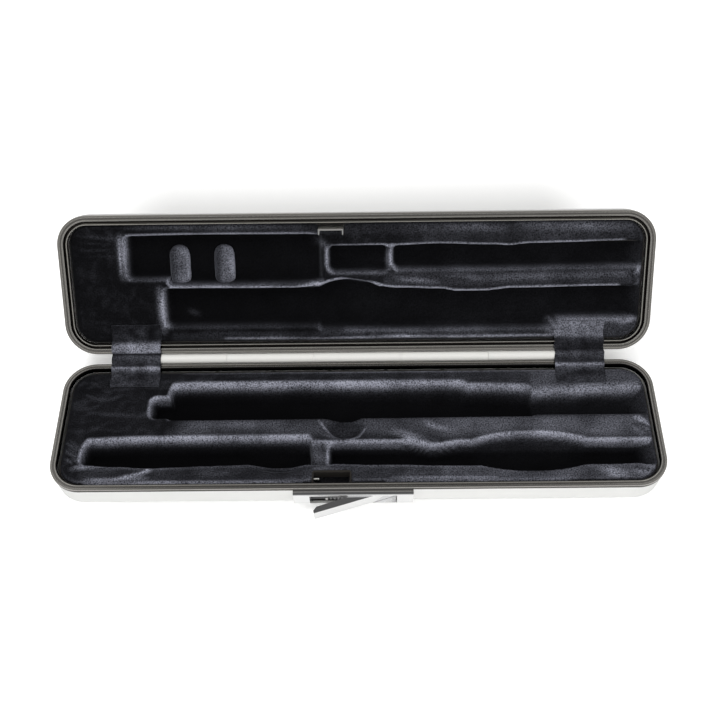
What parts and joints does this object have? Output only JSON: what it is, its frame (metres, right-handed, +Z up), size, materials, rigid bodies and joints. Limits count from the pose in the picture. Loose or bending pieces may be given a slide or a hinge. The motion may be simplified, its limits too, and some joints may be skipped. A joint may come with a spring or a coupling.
{
  "type": "flute case",
  "caption": "Long hard case with a hinged lid held open by straps, a velvet-lined insert with pockets for the joints of a flute, and a rocker latch with a sliding bolt.",
  "frame": {"origin": "centre of the base's flat underside", "axes": "+X along the case to the right as the latch is faced, +Y from the latch to the hinge, +Z up"},
  "size_m": [0.44, 0.2076, 0.1127],
  "materials": {
    "white_abs": "satin",
    "rim_metal": "satin",
    "black_velvet": "matte",
    "strap_velvet": "matte",
    "insert_wood": "matte",
    "insert_pulp": "matte",
    "latch_chrome": "polished",
    "latch_steel": "satin",
    "hinge_metal": "satin",
    "rivet_metal": "satin",
    "spring_steel": "satin"
  },
  "bodies": {
    "base": {"base_shell": "white_abs", "base_rim": "rim_metal", "base_velvet": "black_velvet", "left_strap": "strap_velvet", "right_strap": "strap_velvet", "base_core_foot": "insert_wood", "base_core_catch": "insert_wood", "base_core_head": "insert_wood", "base_core_end": "insert_wood", "base_core_back": "insert_wood", "latch_housing": "latch_chrome", "lever_pin": "latch_steel", "latch_plate": "latch_steel", "latch_studs": "latch_steel", "latch_spring": "spring_steel", "hinge_base_leaf": "hinge_metal", "hinge_pin": "latch_steel", "hinge_base_rivets": "rivet_metal"},
    "lid": {"lid_shell": "white_abs", "lid_rim": "rim_metal", "lid_core": "insert_pulp", "lid_velvet": "black_velvet", "lid_pads": "black_velvet", "hinge_lid_leaf": "hinge_metal", "hinge_lid_rivets": "rivet_metal", "catch_plate": "latch_steel", "catch_screws": "latch_steel"},
    "latch_lever": {"latch_lever": "latch_chrome"},
    "latch_bolt": {"latch_bolt": "latch_steel"}
  },
  "joints": [
    {"name": "lid_hinge", "type": "hinge", "parent": "base", "child": "lid", "pos_m": [0, 0.057, 0.02715], "axis": [1, 0, 0], "range_deg": [0, 128.8], "deforming": ["left_strap", "right_strap"]},
    {"name": "lever_pivot", "type": "hinge", "parent": "base", "child": "latch_lever", "pos_m": [0.0099, -0.0536, 0.017], "axis": [0, 0, 1], "range_deg": [-17.3, 4.7]},
    {"name": "bolt_slide", "type": "slide", "parent": "base", "child": "latch_bolt", "axis": [1, 0, 0], "range_m": [-0.00054, 0.00197], "deforming": ["latch_spring"]}
  ],
  "couplings": [
    {"joint": "bolt_slide", "follows": "lever_pivot", "m_per_rad": -0.0065}
  ]
}
